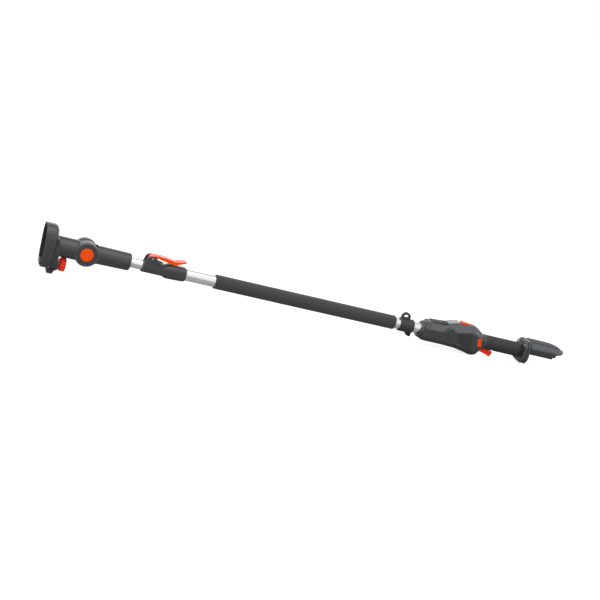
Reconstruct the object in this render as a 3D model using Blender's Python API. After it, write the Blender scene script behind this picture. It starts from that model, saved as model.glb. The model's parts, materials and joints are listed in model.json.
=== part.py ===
"""Telescoping battery pole with a tilting head coupling, a lever clamp and a powered rear handle.

Row frame: the origin is the centre of the flat seat in the head socket, +X runs along the pole
from the head to the battery foot, +Z is the clamp lever's side, and -Y is the operator's left.
Sizes below are in millimetres; MM turns them into metres.
"""

import math

import bmesh
import bpy
from mathutils import Vector

MM = 0.001
GAP = 0.3  # clearance between neighbouring pieces
SIDES = 36  # facets of a large round piece
SMALL_SIDES = 20  # facets of a pin, a screw or a button

# Head coupling
COLLAR_HALF_WIDTH = 39.0
COLLAR_TOP = 56.0
COLLAR_BOTTOM = -62.0
COLLAR_WALL = 3.2
TOP_POWER = 2.6  # roundness of the oval's two halves: 2 is an ellipse
BOTTOM_POWER = 3.6
RIM_X = -24.1
RIM_SLOPE = -0.071  # the rim leans forward at its top
COLLAR_REAR = 7.0
NECK_RADIUS = 27.3
KNOB_Z = -47.0
KNOB_RADIUS = 18.5
KNOB_FRONT = 30.0
KNOB_REAR = 48.0
KNOB_RIBS = 14
SCREW_RADIUS = 3.0
SCREW_CLEAR = SCREW_RADIUS + 0.4

# Tilt joint, on an axis along Y
PIVOT_X = 91.0
EAR_RADIUS = 39.0
DISC_RADIUS = 33.0
DISC_FACE = 29.8
BEVEL_FOOT = 27.2  # where the covers' bevel starts, and its radius at the face
BEVEL_RADIUS = 29.6
COVER_SEAT = 25.0
SLOT_HALF = 13.2
KNUCKLE_RADIUS = 31.5
SLOT_RADIUS = 34.5
WEB_HALF = 17.0  # the tallest that the slot clears at full tilt
KNUCKLE_HALF = 12.8
BUTTON_RADIUS = 18.0
BUTTON_FACE = 31.2
GEAR_RADIUS = 14.5
GEAR_TEETH = 12
AXLE_RADIUS = 6.0
AXLE_HEAD = 10.0
HEAD_BORE = AXLE_HEAD + 0.6
BUTTON_BORE = BUTTON_RADIUS + 0.4
COUNTERBORE_END = -3.0

# Arm and tubes
ARM_END = 214.0
ARM_RADIUS_FRONT = 25.4
ARM_RADIUS_REAR = 23.8
ARM_SCREWS = [(142.0, 17.5), (196.0, -18.0)]  # x and z
INNER_RADIUS = 13.5
INNER_BORE = 12.0
INNER_FRONT = 150.0
INNER_REAR = 912.0
OUTER_RADIUS = 16.0
OUTER_BORE = 15.0
OUTER_FRONT = 316.0
OUTER_REAR = 1128.0
COIL_RADIUS = 7.0
FOAM_RADIUS = 20.0
FOAM_FRONT = 456.0
FOAM_REAR = 1007.0

# Lever clamp
CLAMP_FRONT = 247.0
CLAMP_STEP = 309.0
CLAMP_REAR = 371.0
CLAMP_RADIUS = 20.6
CLAMP_HALF = 16.6
PIN_X = 268.5
PIN_Z = 26.5
PIN_RADIUS = 2.5
EAR_SEAT = 22.0
EAR_MIDDLE = (PIN_X + 0.5, EAR_SEAT)  # the ears are arches about this point, 15.5 long and 11.6 high
EAR_INNER = 11.6
EAR_OUTER = 15.8
CAM_RADIUS = 7.5
CAM_OFFSET = 0.8
SHOE_BOX = (PIN_X - 11.0, PIN_X + 13.0)

# Strap eye
STRAP_FRONT = 1022.0
STRAP_REAR = 1065.0
EYE_X = 1036.5
EYE_Z = 24.2
EYE_RADIUS = 13.8
EYE_HOLE = (7.6, 3.9)  # half its length and half its height
EYE_HOLE_Z = 27.2
EYE_HALF = 4.2
LUG_X = 1058.0
LUG_Z = -23.5

# Handle
NOSE_FRONT = 1086.0
SHELL_FRONT = 1094.0
SHELL_REAR = 1292.0
SHELL_WALL = 2.6
GRIP_Z = 4.5
GRIP_RADIUS = 21.3
CORE_RADIUS = 18.0
CORE_BORE = 15.4
GRIP_FRONT = 1300.0
GRIP_REAR = 1417.0
CORE_REAR = 1419.7
TRIGGER_X = 1296.0
TRIGGER_Z = -9.0
TRIGGER_PIN_RADIUS = 1.8
TRIGGER_ROOM = TRIGGER_X + 41.0  # where the slot in the grip ends
THUMB_FRONT = 1208.0
THUMB_REAR = 1240.0
THUMB_HALF = 9.0
SIDE_BUTTON = (1275.0, 5.0)  # x and z of its middle
SIDE_BUTTON_SIZE = (12.5, 24.0)
SIDE_BUTTON_LEAN = 0.25  # its top stands forward of its foot

# Guard flange and battery foot
FLANGE_FRONT = 1420.0
FLANGE_REAR = 1440.0
FLANGE_SCREWS = [(-21.0, 25.5), (21.0, 25.5)]  # y and z
GROOVE_SCALE = 0.91
FOOT_REAR = 1562.0
RAIL_REAR = 1511.0
FOOT_BASE = 21.0
RAIL_BOTTOM = 6.0
VISOR_REACH = 6.0
VISOR_HALF = 19.0
VISOR_Z = 28.2
FOOT_WALL = 2.8
PAD_HEIGHT = 1.0

# Screws that hold the two half shells together: x, z and how far their bosses reach
SHELL_SCREWS = [(1142.0, 3.0, 32.0), (1186.0, -5.0, 32.0), (1251.0, 1.0, 29.6)]
# Corners of the side pads' recesses in the shells, and of the pads themselves, as x and z
PANEL_CORNERS = [(1195, 20), (1239.5, 29), (1254.5, -22), (1202.5, -11)]
PAD_CORNERS = [(1196, 18.5), (1238.5, 27.5), (1253, -20.5), (1203.5, -9.8)]
PAD_DEPTH = 32.7
PAD_FACE = 33.4


# ---------------------------------------------------------------- making solids


def clear_scene():
    for obj in list(bpy.data.objects):
        bpy.data.objects.remove(obj, do_unlink=True)


def material(name, colour, roughness, metallic=0.0):
    made = bpy.data.materials.new(name)
    made.use_nodes = True
    shader = made.node_tree.nodes["Principled BSDF"]
    shader.inputs["Base Color"].default_value = (*colour, 1.0)
    shader.inputs["Roughness"].default_value = roughness
    shader.inputs["Metallic"].default_value = metallic
    made.diffuse_color = (*colour, 1.0)
    return made


def place(axis, along, u, v):
    """The point at `along` on the axis, with u and v on the other two axes in X, Y, Z order."""
    if axis == "X":
        return (along, u, v)
    if axis == "Y":
        return (u, along, v)
    return (u, v, along)


def loft(rings, loop=False):
    """A closed mesh through rings of points: capped at both ends or, as a loop, joined end to start."""
    mesh = bmesh.new()
    rows = [[mesh.verts.new(Vector(p)) for p in ring] for ring in rings]
    pairs = list(zip(rows, rows[1:]))
    if loop:
        pairs.append((rows[-1], rows[0]))
    for one, two in pairs:
        for i in range(len(one)):
            j = (i + 1) % len(one)
            mesh.faces.new((one[i], one[j], two[j], two[i]))
    if not loop:
        mesh.faces.new(rows[0])
        mesh.faces.new(list(reversed(rows[-1])))
    bmesh.ops.recalc_face_normals(mesh, faces=mesh.faces)
    return mesh


def circle(axis, along, radius, centre=(0.0, 0.0), sides=SIDES):
    turns = [2 * math.pi * (k + 0.5) / sides for k in range(sides)]
    u, v = centre
    return [place(axis, along, u + radius * math.cos(t), v + radius * math.sin(t)) for t in turns]


def turned(profile, axis="X", centre=(0.0, 0.0), sides=SIDES):
    """A solid turned on an axis from (along, radius) points."""
    return loft([circle(axis, along, radius, centre, sides) for along, radius in profile])


def turned_ring(profile, axis="X", centre=(0.0, 0.0), sides=SIDES):
    """A ring turned on an axis from a closed loop of (along, radius) points."""
    return loft([circle(axis, along, radius, centre, sides) for along, radius in profile], loop=True)


def tube(front, rear, outer, bore, axis="X", centre=(0.0, 0.0), sides=SIDES):
    profile = [(front, outer), (rear, outer), (rear, bore), (front, bore)]
    return turned_ring(profile, axis, centre, sides)


def prism(outline, axis, low, high):
    """An outline of (u, v) points, extruded along an axis."""
    return loft([[place(axis, along, u, v) for u, v in outline] for along in (low, high)])


def block(low, high):
    (x0, y0, z0), (x1, y1, z1) = low, high
    return prism([(x0, y0), (x1, y0), (x1, y1), (x0, y1)], "Z", z0, z1)


def rounded(corners, radii, steps=3):
    """The outline through (u, v) corners, each rounded with its radius, or with one radius for all."""
    if not hasattr(radii, "__len__"):
        radii = [radii] * len(corners)
    outline = []
    for i, corner in enumerate(corners):
        here = Vector(corner)
        before = (Vector(corners[i - 1]) - here).normalized()
        after = (Vector(corners[(i + 1) % len(corners)]) - here).normalized()
        half = before.angle(after) / 2
        reach = radii[i] / math.tan(half)
        middle = here + (before + after).normalized() * radii[i] / math.sin(half)
        start = here + before * reach - middle
        sweep = start.angle_signed(here + after * reach - middle, 0.0)
        for k in range(steps + 1):
            turn = -sweep * k / steps
            outline.append(
                (
                    middle.x + start.x * math.cos(turn) - start.y * math.sin(turn),
                    middle.y + start.x * math.sin(turn) + start.y * math.cos(turn),
                )
            )
    return outline


def helix(centre, axis, low, high, radius, wire, turns, sides=4, steps=9):
    """A coil spring's wire as one closed tube."""
    count = turns * steps
    rings = []
    for k in range(count + 1):
        angle = 2 * math.pi * k / steps
        along = low + wire + (high - low - 2 * wire) * k / count
        ring = []
        for s in range(sides):
            tilt = 2 * math.pi * s / sides
            out = radius + wire * math.cos(tilt)
            u = centre[0] + out * math.cos(angle)
            v = centre[1] + out * math.sin(angle)
            ring.append(place(axis, along + wire * math.sin(tilt), u, v))
        rings.append(ring)
    return loft(rings)


def solid(name, mesh, finish, origin=(0.0, 0.0, 0.0), hidden=False):
    """An object from a mesh in millimetres, with its own origin at `origin`."""
    shift = Vector(origin)
    for vert in mesh.verts:
        vert.co = (vert.co - shift) * MM
    data = bpy.data.meshes.new(name)
    mesh.to_mesh(data)
    mesh.free()
    data.shade_smooth()
    data.set_sharp_from_angle(angle=math.radians(35))
    obj = bpy.data.objects.new(name, data)
    obj.location = shift * MM
    if finish:
        data.materials.append(finish)
    obj.hide_render = hidden
    if hidden:
        obj.display_type = "WIRE"
    bpy.context.collection.objects.link(obj)
    return obj


def combine(obj, operation, *meshes):
    """Adds one Boolean to obj for each mesh."""
    for mesh in meshes:
        count = len(obj.modifiers)
        tool = solid(f"{obj.name}_{operation.lower()}_{count}", mesh, None, hidden=True)
        step = obj.modifiers.new(f"{operation.lower()}_{count}", "BOOLEAN")
        step.operation = operation
        step.object = tool
    return obj


def cut(obj, *meshes):
    return combine(obj, "DIFFERENCE", *meshes)


def join(obj, *meshes):
    return combine(obj, "UNION", *meshes)


def rod(axis, low, high, radius, centre, sides=SMALL_SIDES):
    return turned([(low, radius), (high, radius)], axis, centre, sides)


def arc(centre, radius, start, end, steps):
    """(u, v) points on an arc between two angles in degrees."""
    turns = [math.radians(start + (end - start) * k / steps) for k in range(steps + 1)]
    return [(centre[0] + radius * math.cos(t), centre[1] + radius * math.sin(t)) for t in turns]


# ------------------------------------------------------------------ head coupling


def rim_at(z):
    return RIM_X + RIM_SLOPE * z


def collar_oval(x, inset, sides=44):
    """The collar's oval at one x, or on the slanted rim where x is None, pulled in by `inset`."""
    middle = (COLLAR_TOP + COLLAR_BOTTOM) / 2
    half_height = (COLLAR_TOP - COLLAR_BOTTOM) / 2 - inset
    half_width = COLLAR_HALF_WIDTH - inset
    ring = []
    for k in range(sides):
        turn = 2 * math.pi * (k + 0.5) / sides
        c, s = math.cos(turn), math.sin(turn)
        power = TOP_POWER if s > 0 else BOTTOM_POWER
        y = half_width * math.copysign(abs(c) ** (2 / power), c)
        z = middle + half_height * math.copysign(abs(s) ** (2 / power), s)
        ring.append((rim_at(z) if x is None else x, y, z))
    return ring


def collar_rim(inset, back):
    return [(x + back, y, z) for x, y, z in collar_oval(None, inset)]


def make_head_collar(finish):
    rings = [
        collar_oval(0.0, COLLAR_WALL + 0.8),
        collar_oval(-2.0, COLLAR_WALL),
        collar_rim(COLLAR_WALL, 0.8),
        collar_rim(COLLAR_WALL - 0.8, 0.0),
        collar_rim(0.8, 0.0),
        collar_rim(0.0, 0.8),
        collar_oval(-3.0, 0.0),
        collar_oval(1.5, 1.5),
        collar_oval(4.8, 4.5),
        collar_oval(COLLAR_REAR, 9.0),
    ]
    collar = solid("head_collar", loft(rings), finish)
    window = block((-1, -12.3, 13.7), (9, 12.3, 30.3))
    screw_hole = rod("X", -1, 9, SCREW_CLEAR, (0, KNOB_Z))
    return cut(collar, window, screw_hole)


def make_contact_block(finish):
    """The plug that carries power to the drive head: a block with four open contact slots."""
    body = block((-12, -12, 14), (COLLAR_REAR - GAP, 12, 30))
    plug = solid("contact_block", body, finish)
    slots = [block((-13, y - 1, 18), (-4, y + 1, 26)) for y in (-8, -2.7, 2.7, 8)]
    return cut(plug, *slots)


def make_rear_casing(finish):
    """The saddle behind the collar: it carries the neck above and the knob's screw below."""
    front = COLLAR_REAR + GAP
    side = [(front, 27), (13, 24), (18, 12), (20.5, -5), (22, -30), (25, -50), (28, -57)]
    side += [(28, -63), (22, -67), (18, -77), (4, -77), (1, -71), (2, -63.5), (front, -63)]
    casing = solid("rear_casing", prism(side, "Y", -35, 35), finish)
    edge = [(31.5, 28), (31.5, -14), (24, -52), (9, -66), (9, -80)]
    plan = edge + [(-y, z) for y, z in reversed(edge)]
    combine(casing, "INTERSECT", prism(plan, "X", -5, 40))
    saddle = rod("X", 0, 40, NECK_RADIUS + GAP, (0, 0), SIDES)
    screw_hole = rod("X", 0, 40, SCREW_CLEAR, (0, KNOB_Z))
    return cut(casing, saddle, screw_hole)


def make_lock_knob(finish):
    outline = []
    for k in range(KNOB_RIBS * 4):
        turn = 2 * math.pi * k / (KNOB_RIBS * 4)
        radius = KNOB_RADIUS if k % 4 < 2 else KNOB_RADIUS - 1.8
        outline.append((radius * math.cos(turn), radius * math.sin(turn)))

    def ring(x, scale):
        return [(x, y * scale, KNOB_Z + z * scale) for y, z in outline]

    rings = [
        ring(KNOB_FRONT, 0.80),
        ring(KNOB_FRONT + 2.5, 0.86),
        ring(KNOB_FRONT + 3.5, 0.97),
        ring(KNOB_FRONT + 5.0, 1.0),
        ring(KNOB_REAR - 1.5, 1.0),
        ring(KNOB_REAR, 0.90),
    ]
    origin = (KNOB_FRONT, 0, KNOB_Z)
    knob = solid("lock_knob", loft(rings), finish, origin)
    return cut(knob, rod("X", KNOB_FRONT - 1, 42, SCREW_RADIUS + GAP, (0, KNOB_Z)))


def make_knob_screw(finish):
    origin = (KNOB_FRONT, 0, KNOB_Z)
    profile = [(-19, SCREW_RADIUS - 1), (-18, SCREW_RADIUS), (41, SCREW_RADIUS)]
    profile += [(41.7, SCREW_RADIUS - 0.7)]
    return solid("knob_screw", turned(profile, "X", (0, KNOB_Z), SMALL_SIDES), finish, origin)


def make_latch_hook(finish):
    side = [(-25, -41.5), (-18, -41.5), (-6, -41.5), (-6, -52.5), (-21.5, -52.5), (-25, -49)]
    hook = solid("latch_hook", prism(side, "Y", -9, 9), finish)
    return cut(hook, rod("X", -30, 0, SCREW_RADIUS + GAP, (0, KNOB_Z)))


# -------------------------------------------------------------------- tilt joint


def make_neck_fork(finish):
    """The head's neck, which ends in two round ears with a slot between them."""
    centre = (PIVOT_X, 0)
    front = COLLAR_REAR + GAP
    neck = solid("neck_fork", rod("X", front, PIVOT_X + 45, NECK_RADIUS, (0, 0), SIDES), finish)
    plan = [(0, -41), (PIVOT_X, -41)] + arc(centre, EAR_RADIUS, -80, 80, 16)
    plan += [(PIVOT_X, 41), (0, 41)]
    combine(neck, "INTERSECT", prism(plan, "Y", -40, 40))
    join(neck, turned([(-COVER_SEAT, DISC_RADIUS), (COVER_SEAT, DISC_RADIUS)], "Y", centre))
    slot = arc(centre, SLOT_RADIUS, 270, 90, 20)
    slot += [(PIVOT_X, 50), (PIVOT_X + 60, 50), (PIVOT_X + 60, -50), (PIVOT_X, -50)]
    cut(neck, prism(slot, "Y", -SLOT_HALF, SLOT_HALF))
    for side in (-1, 1):
        low, high = sorted((side * COVER_SEAT, side * 50))
        cut(neck, rod("Y", low, high, DISC_RADIUS + 0.8, centre, SIDES))
    cable_way = rod("X", front - 1, PIVOT_X, 8, (0, 0))
    button_bore = rod("Y", -40, -21, BUTTON_BORE, centre, SIDES)
    splines = prism(gear_outline(GEAR_RADIUS + 0.4), "Y", -40, 0)
    axle_bore = rod("Y", 0, 40, AXLE_RADIUS + GAP, centre)
    return cut(neck, cable_way, button_bore, splines, axle_bore)


def gear_outline(radius):
    """A splined disc about the tilt axis, as (x, z) points."""
    outline = []
    for k in range(GEAR_TEETH * 4):
        turn = 2 * math.pi * k / (GEAR_TEETH * 4)
        reach = radius if k % 4 < 2 else radius - 1.8
        outline.append((PIVOT_X + reach * math.cos(turn), reach * math.sin(turn)))
    return outline


def make_pivot_covers(finish):
    centre = (PIVOT_X, 0)
    seat = COVER_SEAT + GAP
    near = [(-seat, DISC_RADIUS), (-BEVEL_FOOT, DISC_RADIUS), (-DISC_FACE, BEVEL_RADIUS)]
    near += [(-DISC_FACE, BUTTON_BORE + 1), (-DISC_FACE + 1, BUTTON_BORE), (-seat, BUTTON_BORE)]
    solid("pivot_cover_near", turned_ring(near, "Y", centre), finish)
    far = [(seat, DISC_RADIUS), (BEVEL_FOOT, DISC_RADIUS), (DISC_FACE, BEVEL_RADIUS)]
    far += [(DISC_FACE, HEAD_BORE + 1.4), (DISC_FACE - 1, HEAD_BORE), (seat, HEAD_BORE)]
    solid("pivot_cover_far", turned_ring(far, "Y", centre), finish)


def make_tilt_button(finish):
    """The push button that frees the tilt joint, in one piece with its splined lock gear."""
    centre = (PIVOT_X, 0)
    face = -BUTTON_FACE
    profile = [(face, BUTTON_RADIUS - 1.5), (face + 0.8, BUTTON_RADIUS - 0.3)]
    profile += [(face + 1.6, BUTTON_RADIUS), (-26, BUTTON_RADIUS)]
    return solid("tilt_button", turned(profile, "Y", centre), finish, (PIVOT_X, 0, 0))


def make_lock_gear(finish):
    centre = (PIVOT_X, 0)
    gear = solid("lock_gear", prism(gear_outline(GEAR_RADIUS), "Y", -25.7, -13.6), finish,
                 (PIVOT_X, 0, 0))
    return cut(gear, rod("Y", -22, 0, 8, centre))


def make_button_spring(finish):
    spring = helix((PIVOT_X, 0), "Y", -21.5, COUNTERBORE_END - GAP, 5.5, 0.7, 6)
    return solid("button_spring", spring, finish, (PIVOT_X, 0, 0))


def make_pivot_axle(finish):
    centre = (PIVOT_X, 0)
    profile = [(COUNTERBORE_END + 0.5, AXLE_RADIUS), (COVER_SEAT + GAP, AXLE_RADIUS)]
    profile += [(COVER_SEAT + GAP, AXLE_HEAD), (DISC_FACE - 1.5, AXLE_HEAD)]
    profile += [(DISC_FACE - 0.5, AXLE_HEAD - 1)]
    axle = solid("pivot_axle", turned(profile, "Y", centre, SMALL_SIDES), finish, (PIVOT_X, 0, 0))
    hexagon = circle("Y", 27, 4, centre, 6)
    return cut(axle, prism([(x, z) for x, _, z in hexagon], "Y", 27, 40))


# --------------------------------------------------------------- arm and its tube


def make_arm_half(name, side, finish):
    """One half of the arm: the knuckle in the fork's slot, the web, and the sleeve on the tube."""
    centre = (PIVOT_X, 0)
    sleeve = [(PIVOT_X, ARM_RADIUS_FRONT), (ARM_END - 3, ARM_RADIUS_REAR)]
    sleeve += [(ARM_END - 0.8, ARM_RADIUS_REAR - 1), (ARM_END, ARM_RADIUS_REAR - 3)]
    half = solid(name, turned(sleeve), finish)
    cut(half, rod("Y", -40, 40, EAR_RADIUS + 0.5, centre, 2 * SIDES))
    web = [(PIVOT_X, WEB_HALF), (PIVOT_X, -WEB_HALF)]
    web += [(PIVOT_X + 48, -WEB_HALF), (PIVOT_X + 48, WEB_HALF)]
    knuckle = rod("Y", -KNUCKLE_HALF, KNUCKLE_HALF, KNUCKLE_RADIUS, centre, SIDES)
    join(half, prism(web, "Y", -KNUCKLE_HALF, KNUCKLE_HALF), knuckle)
    gear_room = rod("Y", -20, COUNTERBORE_END, GEAR_RADIUS + 1.2, centre, 24)
    axle_bore = rod("Y", -20, 20, AXLE_RADIUS + GAP, centre)
    tube_socket = rod("X", INNER_FRONT - GAP, ARM_END + 5, INNER_RADIUS + GAP, (0, 0))
    cable_way = rod("X", PIVOT_X + 20, INNER_FRONT + 1, 8, (0, 0))
    cut(half, gear_room, axle_bore, tube_socket, cable_way)
    for x, z in ARM_SCREWS:
        cut(half, rod("Y", -14, 40, 2.3, (x, z), 12), rod("Y", 17, 40, 4.3, (x, z), 12))
    low, high = (-60, -GAP / 2) if side < 0 else (GAP / 2, 60)
    combine(half, "INTERSECT", block((0, low, -60), (ARM_END + 20, high, 60)))
    return half


def make_arm_screws(finish):
    for number, (x, z) in enumerate(ARM_SCREWS, 1):
        profile = [(-13.5, 2.0), (17.3, 2.0), (17.3, 3.9), (18.6, 3.5)]
        screw = turned(profile, "Y", (x, z), 12)
        solid(f"arm_screw_{number}", screw, finish, (x, 0, z))


def make_inner_tube(finish):
    return solid("inner_tube", tube(INNER_FRONT, INNER_REAR, INNER_RADIUS, INNER_BORE), finish)


def make_tube_bush(finish):
    """The plug in the inner tube's end, whose rim runs in the outer tube."""
    reach, rim = INNER_BORE - GAP, OUTER_BORE - GAP
    profile = [(INNER_REAR - 18, reach), (INNER_REAR + GAP, reach), (INNER_REAR + GAP, rim)]
    profile += [(INNER_REAR + 7, rim), (INNER_REAR + 7, 8.5), (INNER_REAR - 18, 8.5)]
    return solid("tube_bush", turned_ring(profile), finish)


def make_outer_tube(finish):
    return solid("outer_tube", tube(OUTER_FRONT, OUTER_REAR, OUTER_RADIUS, OUTER_BORE), finish)


def make_cable_coil(finish):
    """The outer shape of the coiled lead inside the two tubes."""
    coil = rod("X", INNER_FRONT + 8, OUTER_REAR - 14, COIL_RADIUS, (0, 0), 12)
    return solid("cable_coil", coil, finish)


def make_cable_gland(finish):
    profile = tube(OUTER_REAR - 12, OUTER_REAR - 2, OUTER_BORE - GAP, 4.0, sides=SMALL_SIDES)
    return solid("cable_gland", profile, finish)


def make_foam_grip(finish):
    bore = OUTER_RADIUS + GAP
    profile = [(FOAM_FRONT, FOAM_RADIUS - 0.8), (FOAM_FRONT + 0.8, FOAM_RADIUS)]
    profile += [(FOAM_REAR - 3, FOAM_RADIUS), (FOAM_REAR, FOAM_RADIUS - 3)]
    profile += [(FOAM_REAR, bore), (FOAM_FRONT, bore)]
    return solid("foam_grip", turned_ring(profile), finish)


# ------------------------------------------------------------------- lever clamp


def clamp_section(x, half, low, high, corner):
    """A rounded section of the clamp's body across the pole."""
    corners = [(-half, low), (half, low), (half, high), (-half, high)]
    return [(x, y, z) for y, z in rounded(corners, corner, 5)]


def make_clamp_body(finish):
    step, rear, wide = CLAMP_STEP, CLAMP_REAR, CLAMP_RADIUS
    rings = [
        clamp_section(CLAMP_FRONT, CLAMP_HALF - 1, -16.0, 14.0, 11),
        clamp_section(CLAMP_FRONT + 1.5, CLAMP_HALF, -17.0, 15.0, 12),
        clamp_section(step - 3, CLAMP_HALF, -17.0, 15.0, 12),
        clamp_section(step + 7, wide - 1, -wide, 18.5, 14),
        clamp_section(step + 12, wide, -wide, wide - 1, 14.5),
        clamp_section(rear - 6, wide - 1.2, -wide + 1.5, wide - 1.5, 13.5),
        clamp_section(rear, wide - 3.6, -wide + 3.6, wide - 3.6, 12),
    ]
    body = solid("clamp_body", loft(rings), finish)
    outline = [(CLAMP_FRONT + 3, 5), (PIN_X + 42, 5), (PIN_X + 38, 16), (PIN_X + 22, 19)]
    outline += [(x, EAR_SEAT + 0.75 * (z - EAR_SEAT)) for x, z in arc(EAR_MIDDLE, 15.5, 5, 172, 12)]
    for side in (-1, 1):
        low, high = sorted((side * EAR_INNER, side * EAR_OUTER))
        join(body, prism(outline, "Y", low, high))
    tube_way = rod("X", CLAMP_FRONT - 5, OUTER_FRONT, INNER_RADIUS + GAP, (0, 0))
    tube_socket = rod("X", OUTER_FRONT - GAP, rear + 5, OUTER_RADIUS + GAP, (0, 0))
    shoe_room = block((SHOE_BOX[0] - GAP, -9.3, 8), (SHOE_BOX[1] + GAP, 9.3, 30))
    pin_bore = rod("Y", -30, 30, PIN_RADIUS + GAP, (PIN_X, PIN_Z), 16)
    return cut(body, tube_way, tube_socket, shoe_room, pin_bore)


def make_clamp_shoe(finish):
    """The block that the lever's cam presses on the inner tube."""
    top = PIN_Z - CAM_RADIUS - CAM_OFFSET - GAP
    front, rear = SHOE_BOX
    side = [(front, 9), (front, 16.5), (front + 3, top), (rear, top), (rear, 9)]
    shoe = solid("clamp_shoe", prism(side, "Y", -9, 9), finish, (PIN_X, 0, top))
    return cut(shoe, rod("X", front - 5, rear + 5, INNER_RADIUS + GAP, (0, 0), 2 * SIDES))


def make_clamp_pin(finish):
    profile = [(-16.3, PIN_RADIUS - 0.5), (-15.8, PIN_RADIUS), (15.8, PIN_RADIUS)]
    profile += [(16.3, PIN_RADIUS - 0.5)]
    origin = (PIN_X, 0, PIN_Z)
    return solid("clamp_pin", turned(profile, "Y", (PIN_X, PIN_Z), 16), finish, origin)


def make_clamp_lever(finish):
    """The bent lever: a cam at the pin, an arched back and a thumb paddle that turns up at its end."""
    cam = arc((PIN_X, PIN_Z - CAM_OFFSET), CAM_RADIUS, 100, 330, 16)
    top = [(331, 28.0), (364, 34.3), (363, 36.8), (336, 32.0), (330, 31.5), (324, 33.0)]
    top += [(304, 35.6), (290, 36.2), (278, 35.8)]
    under = [(282, 29.5), (309, 25.2), (325, 22.2), (334, 22.0)]
    spine = cam + under + top[1:]
    lever = solid("clamp_lever", prism(spine, "Y", -EAR_INNER + 0.4, EAR_INNER - 0.4), finish,
                  (PIN_X, 0, PIN_Z))
    wide = [(290, 27.9), (309, 25.2), (325, 22.2), (334, 22.0), (364, 34.3), (363, 36.8)]
    wide += [(336, 32.0), (330, 31.5), (324, 33.0), (304, 35.6), (290, 36.2)]
    join(lever, prism(wide, "Y", -13.2, 13.2))
    hollow = [(286, 20), (286, 32.5), (304, 32.6), (324, 28.5), (334, 24.6), (350, 28.0), (350, 15)]
    pin_bore = rod("Y", -30, 30, PIN_RADIUS + GAP, (PIN_X, PIN_Z), 16)
    return cut(lever, prism(hollow, "Y", -10.5, 10.5), pin_bore)


# --------------------------------------------------------------------- strap eye


def make_strap_clamp(finish):
    """A split band with a ring for the shoulder strap on top and two screw lugs below."""
    bore = OUTER_RADIUS + GAP
    profile = [(STRAP_FRONT, FOAM_RADIUS - 1), (STRAP_FRONT + 1, FOAM_RADIUS)]
    profile += [(STRAP_REAR - 2, FOAM_RADIUS), (STRAP_REAR, FOAM_RADIUS - 1.5)]
    band = solid("strap_clamp", turned(profile), finish)
    eye = rod("Y", -EYE_HALF, EYE_HALF, EYE_RADIUS, (EYE_X, EYE_Z), 24)
    ring = circle("Y", 0, 1.0, (0, 0), 24)
    outline = [(EYE_X + EYE_HOLE[0] * x, EYE_HOLE_Z + EYE_HOLE[1] * z) for x, _, z in ring]
    eye_hole = prism(outline, "Y", -20, 20)
    lug = rounded([(LUG_X - 7, -15), (LUG_X - 7, -27), (LUG_X + 6.5, -29), (LUG_X + 6.5, -15)], 3)
    join(band, eye, prism(lug, "Y", -8, 8))
    slit = block((STRAP_FRONT - 5, -1.5, -40), (STRAP_REAR + 5, 1.5, -5))
    tube_way = rod("X", STRAP_FRONT - 5, STRAP_REAR + 5, bore, (0, 0), SIDES)
    screw_bore = rod("Y", -20, 20, 2.3, (LUG_X, LUG_Z), 12)
    return cut(band, tube_way, slit, screw_bore, eye_hole)


def make_strap_screw(finish):
    centre, origin = (LUG_X, LUG_Z), (LUG_X, 0, LUG_Z)
    profile = [(-12, 3.6), (-11, 4.5), (-8.3, 4.5), (-8.3, 2.0), (12.5, 2.0)]
    screw = solid("strap_screw", turned(profile, "Y", centre, 16), finish, origin)
    socket = [(x, z) for x, _, z in circle("Y", 0, 2.2, centre, 6)]
    cut(screw, prism(socket, "Y", -20, -10))
    nut = [(x, z) for x, _, z in circle("Y", 0, 4.4, centre, 6)]
    piece = solid("strap_nut", prism(nut, "Y", 8.3, 11.8), finish, origin)
    cut(piece, rod("Y", 0, 20, 2.3, centre, 12))


# ------------------------------------------------------------------------ handle

# Stations of the handle's housing: x, top z, half-width of the top, half-width, z of the
# shoulder, z of the lower corner, half-width of the bottom, bottom z
HOUSING = [
    (1094.0, 25.5, 13.0, 28.0, 12.0, -12.0, 14.0, -25.0),
    (1101.0, 29.5, 15.0, 31.5, 13.0, -14.0, 16.0, -28.0),
    (1110.0, 30.5, 16.5, 33.0, 14.0, -15.0, 17.0, -28.5),
    (1158.0, 31.0, 17.0, 33.5, 16.0, -15.0, 17.0, -28.5),
    (1204.0, 43.0, 15.0, 33.5, 22.0, -17.0, 17.0, -30.0),
    (1222.0, 44.5, 13.5, 33.0, 25.0, -19.0, 16.5, -33.0),
    (1240.0, 46.0, 12.0, 32.0, 27.0, -21.0, 16.0, -36.0),
    (1256.0, 45.0, 11.0, 30.0, 26.0, -23.0, 15.5, -40.0),
    (1268.0, 39.0, 10.5, 27.0, 22.0, -23.0, 14.5, -40.5),
    (1280.0, 31.0, 10.0, 23.5, 17.0, -19.0, 13.0, -37.0),
    (1287.0, 26.2, 9.5, 22.0, 14.0, -14.0, 11.5, -29.0),
    (1292.0, 25.6, 9.0, 21.0, 12.0, -8.0, 9.0, -18.5),
]
CORNER_STEPS = 2
# The nose's face leans, with its foot forward: the x that a front station gains for each z
NOSE_LEAN = 0.19
STATION_LEANS = {1094.0: NOSE_LEAN, 1101.0: 0.15, 1110.0: 0.08}


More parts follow.
